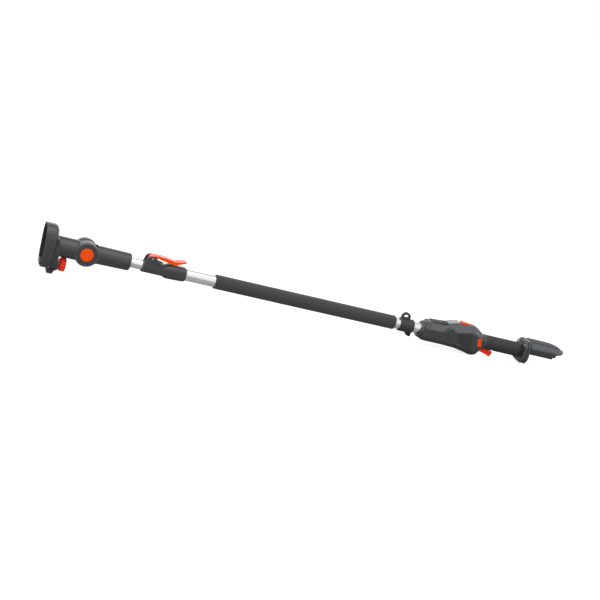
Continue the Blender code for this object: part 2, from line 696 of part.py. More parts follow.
def half_outline(station, inset):
    """One side's outline from the top's middle to the bottom's middle, as (y, z) with y > 0."""
    _, top, top_half, half, shoulder, lower, bottom_half, bottom = station
    edge = GAP / 2
    corners = [
        (edge, top - inset),
        (top_half - 0.5 * inset, top - inset),
        (half - inset, shoulder - 0.4 * inset),
        (half - inset, lower + 0.4 * inset),
        (bottom_half - 0.5 * inset, bottom + inset),
        (edge, bottom + inset),
    ]
    closed = rounded(corners, [0.01, 4, 7, 7, 5, 0.01], CORNER_STEPS)
    return [closed[0]] + closed[CORNER_STEPS + 1 : -CORNER_STEPS - 1] + [closed[-1]]


def core_outline(radius, count):
    """A half circle about the grip's middle with the same number of points."""
    points = []
    for k in range(count):
        turn = math.pi * k / (count - 1)
        points.append((max(radius * math.sin(turn), GAP / 2), GRIP_Z + radius * math.cos(turn)))
    return points


def shell_rings(side):
    """C-shaped sections of one half shell, from the nose to the flange."""
    rings = []
    for station in HOUSING:
        outer = half_outline(station, 0.0)
        inner = half_outline(station, SHELL_WALL)
        x, lean = station[0], STATION_LEANS.get(station[0], 0.0)
        rings.append([(x + lean * z, side * y, z) for y, z in outer + inner[::-1]])
    count = len(outer)
    for x in (SHELL_REAR + 0.4, CORE_REAR):
        loop = core_outline(CORE_RADIUS, count) + core_outline(CORE_BORE, count)[::-1]
        rings.append([(x, side * y, z) for y, z in loop])
    return rings


def make_handle_shell(name, side, finish):
    shell = solid(name, loft(shell_rings(side)), finish)
    for x, z, reach in SHELL_SCREWS:
        low, high = sorted((side * GAP, side * reach))
        join(shell, rod("Y", low, high, 4.6, (x, z), 12))
    for x, z, _ in SHELL_SCREWS:
        if side < 0:
            cut(shell, rod("Y", -15, 15, 2.2, (x, z), 12))
        else:
            cut(shell, screw_room((x, z)))
    tube_socket = rod("X", SHELL_FRONT - 5, SHELL_FRONT + 1, OUTER_RADIUS + GAP, (0, 0), SIDES)
    thumb_half = THUMB_HALF + GAP
    thumb_hole = block((THUMB_FRONT - GAP, -thumb_half, 34), (THUMB_REAR + GAP, thumb_half, 70))
    trigger_front = block((TRIGGER_X - 8, -5.4, -40), (TRIGGER_X + 8, 5.4, -6))
    trigger_rear = block((TRIGGER_X + 7.6, -10.6, -40), (TRIGGER_ROOM, 10.6, -6))
    trigger_room = block((TRIGGER_X - 9, -10.6, -40), (TRIGGER_X + 9, 10.6, -15))
    pin_bore = rod("Y", -30, 30, TRIGGER_PIN_RADIUS + GAP, (TRIGGER_X, TRIGGER_Z), 12)
    cut(shell, tube_socket, thumb_hole, trigger_front, trigger_rear, trigger_room, pin_bore)
    depth = sorted((side * (PAD_DEPTH - 0.4), side * 60.0))
    cut(shell, prism(rounded(PANEL_CORNERS, 3), "Y", depth[0], depth[1]))
    if side < 0:
        cut(shell, side_button_prism(SIDE_BUTTON_SIZE, GAP, -60, -12))
    return shell


def screw_room(centre):
    """A screw's hole with the counterbore for its head, in the right shell."""
    profile = [(-15, 2.2), (20, 2.2), (20, 4.5), (60, 4.5)]
    return turned(profile, "Y", centre, 12)


def side_button_prism(size, grow, low, high):
    x, z = SIDE_BUTTON
    u, v = size[0] / 2 + grow, size[1] / 2 + grow
    lean = SIDE_BUTTON_LEAN * v
    corners = [(x - u + lean, z - v), (x + u + lean, z - v)]
    corners += [(x + u - lean, z + v), (x - u - lean, z + v)]
    outline = rounded(corners, 3.5)
    return prism(outline, "Y", low, high)


def make_shell_screws(finish):
    for number, (x, z, _) in enumerate(SHELL_SCREWS, 1):
        profile = [(-14.5, 1.9), (20.4, 1.9), (20.4, 4.1), (22.6, 3.7)]
        solid(f"shell_screw_{number}", turned(profile, "Y", (x, z), 12), finish, (x, 0, z))


def make_nose_ring(finish):
    bore = OUTER_RADIUS + GAP
    profile = [(NOSE_FRONT, 22.0), (NOSE_FRONT + 1.5, 24.5), (SHELL_FRONT - GAP, 26.0)]
    profile += [(SHELL_FRONT - GAP, bore + 2), (NOSE_FRONT + 5, bore), (NOSE_FRONT + 1, bore)]
    profile += [(NOSE_FRONT + 0.2, bore + 3)]
    rings = [circle("X", x, radius, (0.0, 0.0), SIDES) for x, radius in profile]
    leaning = [[(x + NOSE_LEAN * z, y, z) for x, y, z in ring] for ring in rings]
    return solid("nose_ring", loft(leaning, loop=True), finish)


def make_side_panels(finish):
    """The soft pads let into both sides of the housing."""
    inset = rounded(PAD_CORNERS, 2.5)
    solid("side_pad_left", prism(inset, "Y", -PAD_FACE, -PAD_DEPTH), finish)
    solid("side_pad_right", prism(inset, "Y", PAD_DEPTH, PAD_FACE), finish)


def make_top_strip(finish):
    """The grip strip on the housing's top, in front of the status panel."""
    side = [(1116, 31.2), (1158, 31.6), (1165.4, 33.6), (1165, 36.6), (1154, 34.6), (1117, 32.8)]
    return solid("top_strip", prism(side, "Y", -15, 15), finish)


def make_status_panel(finish):
    side = [(1167.5, 34.1), (1203.5, 43.7), (1203, 46.2), (1199, 46.4), (1169.5, 38.6)]
    side += [(1166.8, 37.0)]
    return solid("status_panel", prism(side, "Y", -14, 14), finish)


def make_thumb_button(finish):
    front, rear = THUMB_FRONT, THUMB_REAR
    side = [(front, 38.5), (front, 48.0), (front + 2, 49.4), (front + 12, 48.6), (rear - 14, 49.4)]
    side += [(rear - 2, 47.6), (rear, 45.5), (rear, 38.5)]
    origin = ((front + rear) / 2, 0, 44)
    button = solid("thumb_button", prism(side, "Y", -THUMB_HALF, THUMB_HALF), finish, origin)
    x = (front + rear) / 2
    return cut(button, rod("Z", 30, 43, 4.2, (x, 0)))


def make_thumb_seat(finish):
    """The bracket under the thumb button, on the control board."""
    low, x = 12.0, (THUMB_FRONT + THUMB_REAR) / 2
    side = [(x - 14, 33.5), (x - 14, low), (x + 14, low), (x + 14, 33.5)]
    return solid("thumb_switch", prism(side, "Y", -7, 7), finish)


def make_side_button(finish):
    x, z = SIDE_BUTTON
    origin = (x, -24, z)
    shape = side_button_prism(SIDE_BUTTON_SIZE, 0.0, -26.6, -17.0)
    button = solid("side_button", shape, finish, origin)
    return cut(button, rod("Y", -22, 0, 3.8, (x, z), 16))


def make_grip_collar(finish):
    """The ring where the housing meets the rear grip."""
    profile = [(SHELL_REAR + 0.8, 21.6), (SHELL_REAR + 2, 22.4), (GRIP_FRONT - 1.5, 22.2)]
    profile += [(GRIP_FRONT - GAP, 21.4), (GRIP_FRONT - GAP, CORE_RADIUS + GAP)]
    profile += [(SHELL_REAR + 0.8, CORE_RADIUS + GAP)]
    collar = solid("grip_collar", turned_ring(profile, "X", (0, GRIP_Z)), finish)
    return cut(collar, block((SHELL_REAR - 5, -10.8, -40), (GRIP_FRONT + 5, 10.8, -8)))


def make_grip_sleeve(finish):
    bore = CORE_RADIUS + GAP
    profile = [(GRIP_FRONT, GRIP_RADIUS - 1), (GRIP_FRONT + 1, GRIP_RADIUS)]
    profile += [(GRIP_REAR - 5, GRIP_RADIUS), (GRIP_REAR - 1.5, GRIP_RADIUS - 1.2)]
    profile += [(GRIP_REAR, bore + 0.8), (GRIP_REAR, bore), (GRIP_FRONT, bore)]
    sleeve = solid("grip_sleeve", turned_ring(profile, "X", (0, GRIP_Z)), finish)
    return cut(sleeve, block((GRIP_FRONT - 5, -10.8, -40), (TRIGGER_ROOM + 0.5, 10.8, -8)))


def make_trigger(finish):
    x, z = TRIGGER_X, TRIGGER_Z
    finger = [(1289.5, -24.5), (1291, -17.0), (1331, -17.0), (1333.5, -21.5), (1329.5, -32.5)]
    finger += [(1326, -34), (1310, -29), (1297, -26)]
    stem = [(x - 4.5, z), (x - 3, z + 3.5), (x + 2, z + 4), (1322, -7.5), (1325, -18), (1291, -18)]
    trigger = solid("trigger", prism(finger, "Y", -9.8, 9.8), finish, (x, 0, z))
    join(trigger, prism(stem, "Y", -5, 5))
    return cut(trigger, rod("Y", -30, 30, TRIGGER_PIN_RADIUS + GAP, (x, z), 12))


def make_trigger_pin(finish):
    pin = rod("Y", -9.8, 9.8, TRIGGER_PIN_RADIUS, (TRIGGER_X, TRIGGER_Z), 12)
    return solid("trigger_pin", pin, finish, (TRIGGER_X, 0, TRIGGER_Z))


def make_trigger_switch(finish):
    body = block((1304, -6.5, -1.5), (1332, 6.5, 12))
    return solid("trigger_switch", body, finish)


def make_springs(finish):
    thumb_x = (THUMB_FRONT + THUMB_REAR) / 2
    spring = helix((thumb_x, 0), "Z", 33.9, 42.6, 3.0, 0.5, 4)
    solid("thumb_spring", spring, finish, (thumb_x, 0, 38))
    x, z = SIDE_BUTTON
    solid("side_spring", helix((x, z), "Y", -21.6, -13.9, 2.6, 0.5, 4), finish, (x, -18, z))
    solid("trigger_spring", helix((1314, 0), "Z", -5.6, -1.9, 2.4, 0.4, 3), finish, (1314, 0, -4))


def make_side_switch(finish):
    x, z = SIDE_BUTTON
    return solid("side_switch", block((x - 7, -13.5, z - 9), (x + 7, -8, z + 9)), finish)


def make_control_board(finish):
    return solid("control_board", block((1130, -22, -16), (1190, 22, -14.4)), finish)


# ------------------------------------------------------ guard flange, battery foot


def foot_outline(half, top, top_half, shoulder, base, inset):
    """The foot's arched section, over the top from one lower edge to the other."""
    corners = [
        (half - inset, base),
        (half - inset, shoulder - 0.4 * inset),
        (top_half - 0.4 * inset, top - inset),
        (-top_half + 0.4 * inset, top - inset),
        (-half + inset, shoulder - 0.4 * inset),
        (-half + inset, base),
    ]
    closed = rounded(corners, [0.01, 4, 5, 5, 4, 0.01], 3)
    return [closed[0]] + closed[4:-4] + [closed[-1]]


# Stations of the foot's cover: x, half-width, top z, half-width of the top, z of the shoulder, base z
FOOT = [
    (1440.3, 37.0, 39.9, 21.5, 26.0, FOOT_BASE),
    (1500.0, 37.0, 39.9, 21.5, 26.0, FOOT_BASE),
    (1520.0, 35.5, 39.2, 20.8, 25.8, FOOT_BASE),
    (1536.0, 31.5, 37.4, 18.8, 25.4, FOOT_BASE),
    (1542.0, 28.6, 36.4, 17.4, 25.4, FOOT_BASE),
    (1548.0, 25.0, 35.0, 15.6, 25.6, FOOT_BASE + 1),
    (1556.0, 18.5, 32.5, 12.0, 27.4, FOOT_BASE + 3.5),
]


def make_foot_cover(finish):
    """The arched cover over the battery's slide, which rounds off into a visor at the rear."""
    rings = []
    for x, half, top, top_half, shoulder, base in FOOT:
        outer = foot_outline(half, top, top_half, shoulder, base, 0.0)
        inner = foot_outline(half, top, top_half, shoulder, base, FOOT_WALL)
        rings.append([(x, y, z) for y, z in outer + inner[::-1]])
    cover = solid("foot_cover", loft(rings), finish)
    front = rings[-1]
    outer = front[: len(front) // 2]
    visor = []
    for _, y, z in outer:
        reach = VISOR_REACH * (1 - (abs(y) / VISOR_HALF) ** 2)
        visor.append((FOOT_REAR - VISOR_REACH + reach, y * 0.8, VISOR_Z + 0.4 * (z - VISOR_Z)))
    return join(cover, loft([outer, visor]))


# Stations of the strip on the foot's cover: x, z of its underside, half-width
PAD_STRIP = [
    (1442.0, 40.2, 19.6),
    (1500.0, 40.2, 19.6),
    (1520.0, 39.5, 18.9),
    (1536.0, 37.7, 16.9),
    (1542.0, 36.7, 15.5),
    (1545.0, 36.0, 14.4),
]


def make_foot_pad(finish):
    """The soft strip along the top of the foot's cover."""
    rings = []
    for x, low, half in PAD_STRIP:
        high = low + PAD_HEIGHT
        rings.append([(x, -half, low), (x, half, low), (x, half - 0.4, high), (x, 0.4 - half, high)])
    return solid("foot_pad", loft(rings), finish)


def make_rail_frame(finish):
    """The slide that the battery runs in: a web, two side walls and an inward lip along each."""
    half, lip, top = 36.6, 29.5, FOOT_BASE - GAP
    section = [(-half, RAIL_BOTTOM), (-half, top), (half, top), (half, RAIL_BOTTOM)]
    section += [(lip, RAIL_BOTTOM), (lip, RAIL_BOTTOM + 3.4), (half - 3, RAIL_BOTTOM + 3.4)]
    section += [(half - 3, top - 3), (-half + 3, top - 3), (-half + 3, RAIL_BOTTOM + 3.4)]
    section += [(-lip, RAIL_BOTTOM + 3.4), (-lip, RAIL_BOTTOM)]
    frame = solid("rail_frame", prism(section, "X", FLANGE_REAR + GAP, 1548), finish)
    keep = [(1430, -50), (RAIL_REAR, -50), (1530, -30), (1545, -18), (1545, 18), (1530, 30)]
    keep += [(RAIL_REAR, 50), (1430, 50)]
    combine(frame, "INTERSECT", prism(keep, "Z", -10, 40))
    ramp = [(RAIL_REAR, -5), (1560, -5), (1560, 30), (1545, 16), (RAIL_REAR + 6, 11)]
    return cut(frame, prism(ramp, "Y", -50, 50))


def make_rear_flange(finish):
    """The guard behind the hand, which is also the battery's front stop."""
    corners = [(21, 40), (36, 26), (37, -12), (26, -28), (-26, -28), (-37, -12), (-36, 26), (-21, 40)]
    outline = rounded(corners, [5, 6, 10, 10, 10, 10, 6, 5], 3)

    def ring(x, scale, lean=0.0):
        return [(x + lean * max(0, z - 16), y * scale, 5 + (z - 5) * scale) for y, z in outline]

    rings = [ring(FLANGE_FRONT, 0.91, 0.17), ring(FLANGE_FRONT + 2.2, 1.0, 0.14)]
    rings += [ring(FLANGE_FRONT + 6.5, 1.0), ring(FLANGE_FRONT + 7.5, GROOVE_SCALE)]
    rings += [ring(FLANGE_FRONT + 9.5, GROOVE_SCALE), ring(FLANGE_FRONT + 10.5, 1.0)]
    rings += [ring(FLANGE_REAR - 2, 1.0), ring(FLANGE_REAR, 0.97)]
    flange = solid("rear_flange", loft(rings), finish)
    wire_way = rod("X", FLANGE_FRONT - 5, FLANGE_REAR + 5, 7, (0, 12))
    cut(flange, wire_way)
    for y, z in FLANGE_SCREWS:
        cut(flange, rod("X", FLANGE_FRONT - 5, FLANGE_REAR + 5, 2.3, (y, z), 12))
        cut(flange, rod("X", FLANGE_FRONT - 5, FLANGE_FRONT + 3, 4.4, (y, z), 12))
    return flange


def make_flange_screws(finish):
    for number, (y, z) in enumerate(FLANGE_SCREWS, 1):
        head = FLANGE_FRONT + 3 - GAP
        profile = [(head - 2.8, 3.6), (head, 4.0), (head, 1.9), (FLANGE_REAR - 2, 1.9)]
        screw = turned(profile, "X", (y, z), 12)
        solid(f"flange_screw_{number}", screw, finish, (head, y, z))


def make_terminal_block(finish):
    """The battery's plug: a block with open slots for the contact blades."""
    top = FOOT_BASE - GAP - 3 - GAP
    body = block((FLANGE_REAR + GAP, -20, 8.5), (1466, 20, top))
    plug = solid("terminal_block", body, finish)
    slots = [block((1450, y - 1.2, 10.5), (1470, y + 1.2, top - 2)) for y in (-14, -5, 5, 14)]
    return cut(plug, *slots)


# -------------------------------------------------------------------------- all


def make_head(plastic, dark, red, steel, orange):
    make_head_collar(plastic)
    make_contact_block(dark)
    make_rear_casing(plastic)
    make_lock_knob(red)
    make_knob_screw(steel)
    make_latch_hook(steel)
    make_neck_fork(plastic)
    make_pivot_covers(plastic)
    make_tilt_button(orange)
    make_lock_gear(steel)
    make_button_spring(steel)


def make_arm(plastic, dark, steel, aluminium):
    make_arm_half("arm_left", -1, plastic)
    make_arm_half("arm_right", 1, plastic)
    make_arm_screws(steel)
    make_pivot_axle(steel)
    make_inner_tube(aluminium)
    make_tube_bush(dark)


def make_pole(plastic, dark, steel, black, aluminium, orange, foam):
    make_outer_tube(aluminium)
    make_cable_coil(dark)
    make_cable_gland(dark)
    make_foam_grip(foam)
    make_clamp_body(plastic)
    make_clamp_shoe(dark)
    make_clamp_pin(steel)
    make_clamp_lever(orange)
    make_strap_clamp(dark)
    make_strap_screw(black)


def make_handle(plastic, dark, steel, red, orange, rubber, panel, board):
    make_handle_shell("handle_left", -1, plastic)
    make_handle_shell("handle_right", 1, plastic)
    make_shell_screws(steel)
    make_nose_ring(plastic)
    make_side_panels(rubber)
    make_top_strip(rubber)
    make_status_panel(panel)
    make_thumb_button(orange)
    make_thumb_seat(dark)
    make_side_button(orange)
    make_side_switch(dark)
    make_springs(steel)
    make_control_board(board)
    make_grip_collar(plastic)
    make_grip_sleeve(rubber)
    make_trigger(red)
    make_trigger_pin(steel)
    make_trigger_switch(dark)
    make_rear_flange(plastic)
    make_flange_screws(steel)
    make_foot_cover(plastic)
    make_foot_pad(rubber)
    make_rail_frame(dark)
    make_terminal_block(dark)


def main():
    clear_scene()
    plastic = material("moulded_plastic", (0.058, 0.06, 0.063), 0.5)
    dark = material("dark_plastic", (0.025, 0.026, 0.028), 0.55)
    rubber = material("grip_rubber", (0.04, 0.041, 0.043), 0.75)
    foam = material("foam", (0.042, 0.043, 0.044), 0.9)
    aluminium = material("brushed_aluminium", (0.82, 0.83, 0.84), 0.28, 1.0)
    steel = material("zinc_steel", (0.6, 0.61, 0.62), 0.35, 1.0)
    black = material("black_steel", (0.03, 0.03, 0.032), 0.4, 1.0)
    orange = material("orange_plastic", (0.95, 0.16, 0.02), 0.4)
    red = material("red_plastic", (0.72, 0.035, 0.015), 0.42)
    panel = material("grey_gloss_panel", (0.3, 0.31, 0.32), 0.15)
    board = material("circuit_board", (0.02, 0.12, 0.05), 0.5)
    make_head(plastic, dark, red, steel, orange)
    make_arm(plastic, dark, steel, aluminium)
    make_pole(plastic, dark, steel, black, aluminium, orange, foam)
    make_handle(plastic, dark, steel, red, orange, rubber, panel, board)


main()
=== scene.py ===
"""The looks of the telescoping battery pole: light, camera, floor, materials and detailed pieces
round the CAD frame. Sizes of pieces are in millimetres; MM turns them into metres."""

import json
import math

import bmesh
import bpy
import numpy as np
from mathutils import Matrix, Vector

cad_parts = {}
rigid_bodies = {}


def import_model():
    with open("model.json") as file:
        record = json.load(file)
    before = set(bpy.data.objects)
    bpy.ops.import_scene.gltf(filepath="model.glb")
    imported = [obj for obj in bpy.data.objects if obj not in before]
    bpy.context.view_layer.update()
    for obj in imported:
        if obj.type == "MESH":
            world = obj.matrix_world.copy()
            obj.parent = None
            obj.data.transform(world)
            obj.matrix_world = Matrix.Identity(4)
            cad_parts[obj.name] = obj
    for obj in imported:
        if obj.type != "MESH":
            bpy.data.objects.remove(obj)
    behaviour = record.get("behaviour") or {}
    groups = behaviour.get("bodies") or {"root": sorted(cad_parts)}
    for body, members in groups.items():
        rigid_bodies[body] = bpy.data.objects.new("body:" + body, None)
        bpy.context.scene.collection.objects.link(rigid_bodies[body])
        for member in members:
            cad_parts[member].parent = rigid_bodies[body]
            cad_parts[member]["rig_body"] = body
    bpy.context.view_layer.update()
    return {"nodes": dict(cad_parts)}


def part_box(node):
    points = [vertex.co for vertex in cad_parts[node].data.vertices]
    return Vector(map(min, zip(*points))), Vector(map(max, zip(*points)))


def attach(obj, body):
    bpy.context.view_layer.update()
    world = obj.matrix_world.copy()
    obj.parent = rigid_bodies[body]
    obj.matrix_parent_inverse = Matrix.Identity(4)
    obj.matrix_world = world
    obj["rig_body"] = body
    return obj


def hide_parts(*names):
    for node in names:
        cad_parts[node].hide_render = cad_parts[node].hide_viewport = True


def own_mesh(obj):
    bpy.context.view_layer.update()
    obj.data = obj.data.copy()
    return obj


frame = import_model()
NODES = frame["nodes"]

# The row frame: +X runs along the pole from the head to the battery foot, +Z is up, -Y faces the camera.
CAMERA_PLACE = (-0.6599, -3.6380, 0.9779)
CAMERA_TURN = 20.65  # degrees to the right of +Y
CAMERA_DIP = 14.08
CAMERA_ROLL = 18.13
CAMERA_LENS = 85.9  # mm on a 36 mm sensor

# How bright the studio is: the floor glows, to the camera only
FLOOR_GLOW = 0.82
FLOOR_LIT = 0.38
FLOOR_HALF = 30.0  # metres
BELLY_X = 1.262  # where the handle's belly meets the floor
OVERHEAD_POWER = 22.0
SKY_FRONT = 1.0
SKY_BACK = 0.6
SKY_HORIZON = 2.6  # low behind the object, where surfaces that face up mirror it to the camera

MM = 0.001
PIVOT_X = 91.0
FOAM_RADIUS = 20.0
FOAM_BORE = 16.3

# How sharply a surface turns, per millimetre, where its painted edge highlight starts and is full
EDGE_BEND = (0.03, 0.11)

# Edges of the CAD nodes that stay
EDGE_WIDTH = 0.4 * MM
EDGE_ANGLE = math.radians(32)
FLAT_ANGLE = math.radians(0.6)


# ---------------------------------------------------------------- materials


def new_material(name):
    made = bpy.data.materials.new(f"finish_{name}")
    made.use_nodes = True
    return made, made.node_tree, made.node_tree.nodes["Principled BSDF"]


def noise_field(tree, scale, detail=4.0, stretch=(1.0, 1.0, 1.0)):
    """Noise in the piece's own coordinates, with `scale` in features per metre."""
    place = tree.nodes.new("ShaderNodeTexCoord")
    mapping = tree.nodes.new("ShaderNodeMapping")
    mapping.inputs["Scale"].default_value = stretch
    field = tree.nodes.new("ShaderNodeTexNoise")
    field.inputs["Scale"].default_value = scale
    field.inputs["Detail"].default_value = detail
    tree.links.new(place.outputs["Object"], mapping.inputs["Vector"])
    tree.links.new(mapping.outputs["Vector"], field.inputs["Vector"])
    return field.outputs["Fac"]


def mapped(tree, value, low, high, start=0.3, end=0.7):
    """`value` from start..end, spread over low..high."""
    node = tree.nodes.new("ShaderNodeMapRange")
    for socket, amount in zip(("From Min", "From Max", "To Min", "To Max"), (start, end, low, high)):
        node.inputs[socket].default_value = amount
    tree.links.new(value, node.inputs["Value"])
    return node.outputs["Result"]


def tinted(tree, value, dark, light):
    """A colour between two, by `value`."""
    ramp = tree.nodes.new("ShaderNodeValToRGB")
    ramp.color_ramp.elements[0].position = 0.3
    ramp.color_ramp.elements[0].color = (*dark, 1.0)
    ramp.color_ramp.elements[1].position = 0.7
    ramp.color_ramp.elements[1].color = (*light, 1.0)
    tree.links.new(value, ramp.inputs["Fac"])
    return ramp.outputs["Color"]


def bumped(tree, shader, height, distance, strength=1.0):
    bump = tree.nodes.new("ShaderNodeBump")
    bump.inputs["Distance"].default_value = distance
    bump.inputs["Strength"].default_value = strength
    tree.links.new(height, bump.inputs["Height"])
    tree.links.new(bump.outputs["Normal"], shader.inputs["Normal"])


WHITE = (1.0, 1.0, 1.0)


def plastic(
    name, colour, roughness, grain, depth, spread=0.06, facet=None, shine=0.5, tint=WHITE
):
    """Moulded plastic: a spark-eroded grain, with colour and gloss that vary a little over the piece.
    Where a piece holds a painted-light value of 1, the colour is `facet`, a lighter colour painted as a
    highlight on lit facets and edges."""
    made, tree, shader = new_material(name)
    cloud = noise_field(tree, 45.0, 3.0)
    dark = tuple(c * (1 - spread) for c in colour)
    light = tuple(c * (1 + spread) for c in colour)
    look = tinted(tree, cloud, dark, light)
    # The painted-light attribute blends in `facet`: a painted highlight on lit facets and edges.
    if facet:
        painted_light = tree.nodes.new("ShaderNodeAttribute")
        painted_light.attribute_name = "painted_light"
        mix = tree.nodes.new("ShaderNodeMix")
        mix.data_type = "RGBA"
        mix.inputs[7].default_value = (*facet, 1.0)
        tree.links.new(painted_light.outputs["Fac"], mix.inputs["Factor"])
        tree.links.new(look, mix.inputs[6])
        look = mix.outputs[2]
    tree.links.new(look, shader.inputs["Base Color"])
    shader.inputs["Specular IOR Level"].default_value = shine
    shader.inputs["Specular Tint"].default_value = (*tint, 1.0)
    tree.links.new(mapped(tree, cloud, roughness - 0.04, roughness + 0.04), shader.inputs["Roughness"])
    bumped(tree, shader, noise_field(tree, grain, 2.0), depth)
    return made


def brushed_metal(name, colour, roughness, along):
    """Drawn metal: fine lines along one axis, and a soft blotchy sheen."""
    made, tree, shader = new_material(name)
    shader.inputs["Metallic"].default_value = 1.0
    stretch = tuple(0.01 if axis == along else 1.0 for axis in "XYZ")
    lines = noise_field(tree, 2600.0, 3.0, stretch)
    dark = tuple(c * 0.93 for c in colour)
    tree.links.new(tinted(tree, lines, dark, colour), shader.inputs["Base Color"])
    tree.links.new(mapped(tree, lines, roughness - 0.06, roughness + 0.08), shader.inputs["Roughness"])
    bumped(tree, shader, lines, 0.00002)
    return made


def foam_material(name, colour):
    made, tree, shader = new_material(name)
    cells = tree.nodes.new("ShaderNodeTexVoronoi")
    cells.inputs["Scale"].default_value = 900.0
    place = tree.nodes.new("ShaderNodeTexCoord")
    tree.links.new(place.outputs["Object"], cells.inputs["Vector"])
    cloud = noise_field(tree, 420.0, 5.0)
    dark = tuple(c * 0.86 for c in colour)
    light = tuple(c * 1.16 for c in colour)
    tree.links.new(tinted(tree, cloud, dark, light), shader.inputs["Base Color"])
    shader.inputs["Roughness"].default_value = 0.92
    shader.inputs["Sheen Weight"].default_value = 0.12
    shader.inputs["Sheen Roughness"].default_value = 0.6
    bumped(tree, shader, cells.outputs["Distance"], 0.0002, 0.8)
    return made


MATERIALS = {
    # The moulded plastic's facet colour is the painted highlight on its lit facets and edges.
    "moulded_plastic": plastic(
        "moulded_plastic", (0.046, 0.047, 0.049), 0.36, 2600.0, 0.00003, facet=(0.085, 0.090, 0.098)
    ),
    "dark_plastic": plastic("dark_plastic", (0.030, 0.030, 0.031), 0.48, 2400.0, 0.00004),
    "grip_rubber": plastic("grip_rubber", (0.030, 0.030, 0.031), 0.68, 1800.0, 0.00008),
    "foam": foam_material("foam", (0.043, 0.043, 0.043)),
    "brushed_aluminium": brushed_metal("brushed_aluminium", (0.86, 0.87, 0.88), 0.22, "X"),
    "zinc_steel": brushed_metal("zinc_steel", (0.60, 0.61, 0.62), 0.34, "Y"),
    "black_steel": plastic("black_steel", (0.012, 0.012, 0.013), 0.35, 2400.0, 0.00002),
    "orange_plastic": plastic(
        "orange_plastic",
        (1.0, 0.088, 0.003),
        0.28,
        2200.0,
        0.00002,
        0.03,
        shine=0.4,
        tint=(1.0, 0.75, 0.45),
    ),
    "red_plastic": plastic(
        "red_plastic",
        (1.0, 0.034, 0.003),
        0.32,
        2200.0,
        0.00002,
        0.04,
        shine=0.4,
        tint=(1.0, 0.8, 0.7),
    ),
    "grey_gloss_panel": plastic("grey_gloss_panel", (0.24, 0.25, 0.26), 0.15, 900.0, 0.00001, 0.03),
    "circuit_board": plastic("circuit_board", (0.01, 0.09, 0.03), 0.40, 1500.0, 0.00003),
}


# ---------------------------------------------------------------- CAD nodes that stay


def soften(node):
    """Welds a CAD node's facets and rounds its edges with modifiers, leaving its own mesh as it is."""
    data = node.data
    if data.attributes.get("custom_normal"):
        data.attributes.remove(data.attributes["custom_normal"])
    data.shade_smooth()
    weld = node.modifiers.new("weld", "WELD")
    weld.merge_threshold = 0.00001
    flat = node.modifiers.new("flat", "DECIMATE")
    flat.decimate_type = "DISSOLVE"
    flat.angle_limit = FLAT_ANGLE
    bevel = node.modifiers.new("edges", "BEVEL")
    bevel.width = EDGE_WIDTH
    bevel.segments = 2
    bevel.angle_limit = EDGE_ANGLE
    bevel.use_clamp_overlap = True
    normals = node.modifiers.new("normals", "WEIGHTED_NORMAL")
    normals.weight = 100
    normals.keep_sharp = False


def dress_nodes(rebuilt):
    """Gives every node its material, and rounds the edges of those that have no detailed piece."""
    for name, node in NODES.items():
        slot = node.data.materials[0].name
        node.data.materials[0] = MATERIALS[slot]
        if name not in rebuilt:
            soften(node)


# ------------------------------------------------- shapes for the detailed pieces, in millimetres


def place(axis, along, u, v):
    """The point at `along` on the axis, with u and v on the other two axes in X, Y, Z order."""
    return {"X": (along, u, v), "Y": (u, along, v), "Z": (u, v, along)}[axis]


def skin(rings, loop=False):
    """A closed mesh through rings of points: capped at both ends, or joined end to start."""
    mesh = bmesh.new()
    rows = [[mesh.verts.new(p) for p in ring] for ring in rings]
    pairs = list(zip(rows, rows[1:]))
    if loop:
        pairs.append((rows[-1], rows[0]))
    for one, two in pairs:
        for i in range(len(one)):
            j = (i + 1) % len(one)
            mesh.faces.new((one[i], one[j], two[j], two[i]))
    if not loop:
        mesh.faces.new(rows[0])
        mesh.faces.new(list(reversed(rows[-1])))
    bmesh.ops.recalc_face_normals(mesh, faces=mesh.faces)
    return mesh


def ring(axis, along, radius, centre=(0.0, 0.0), sides=64):
    turns = [2 * math.pi * k / sides for k in range(sides)]
    u, v = centre
    return [place(axis, along, u + radius * math.cos(t), v + radius * math.sin(t)) for t in turns]


def turned(profile, axis="X", centre=(0.0, 0.0), sides=64):
    return skin([ring(axis, along, radius, centre, sides) for along, radius in profile])


def turned_ring(profile, axis="X", centre=(0.0, 0.0), sides=64):
    return skin([ring(axis, along, radius, centre, sides) for along, radius in profile], True)


def prism(outline, axis, low, high):
    return skin([[place(axis, along, u, v) for u, v in outline] for along in (low, high)])


def mesh_object(name, mesh):
    """An object from a mesh in millimetres."""
    bmesh.ops.scale(mesh, vec=(MM, MM, MM), verts=mesh.verts)
    data = bpy.data.meshes.new(name)
    mesh.to_mesh(data)
    mesh.free()
    made = bpy.data.objects.new(name, data)
    bpy.context.scene.collection.objects.link(made)
    return made


def add_tools(piece, steps):
    """Gives the piece a Boolean for each (operation, mesh), and returns the objects that they use."""
    tools = []
    for operation, mesh in steps:
        tool = mesh_object("tool", mesh)
        step = piece.modifiers.new("tool", "BOOLEAN")
        step.operation, step.object, step.solver = operation, tool, "EXACT"
        tools.append(tool)
    return tools


def baked(piece, tools=()):
    """The piece with its modifiers worked into its mesh, and their tools removed."""
    graph = bpy.context.evaluated_depsgraph_get()
    data = bpy.data.meshes.new_from_object(piece.evaluated_get(graph))
    old = piece.data
    piece.modifiers.clear()
    piece.data = data
    bpy.data.meshes.remove(old)
    for tool in tools:
        bpy.data.objects.remove(tool, do_unlink=True)


def finish_piece(piece, nodes):
    """The piece stands for CAD nodes, moves with their body and takes their material."""
    first = NODES[nodes[0]]
    slot = SLOTS[nodes[0]]
    piece.name = f"{nodes[0]}_detail"
    piece.data.materials.clear()
    piece.data.materials.append(MATERIALS[slot])
    piece.data.shade_smooth()
    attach(piece, first["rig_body"])
    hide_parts(*nodes)
    REBUILT.update(nodes)
    return piece


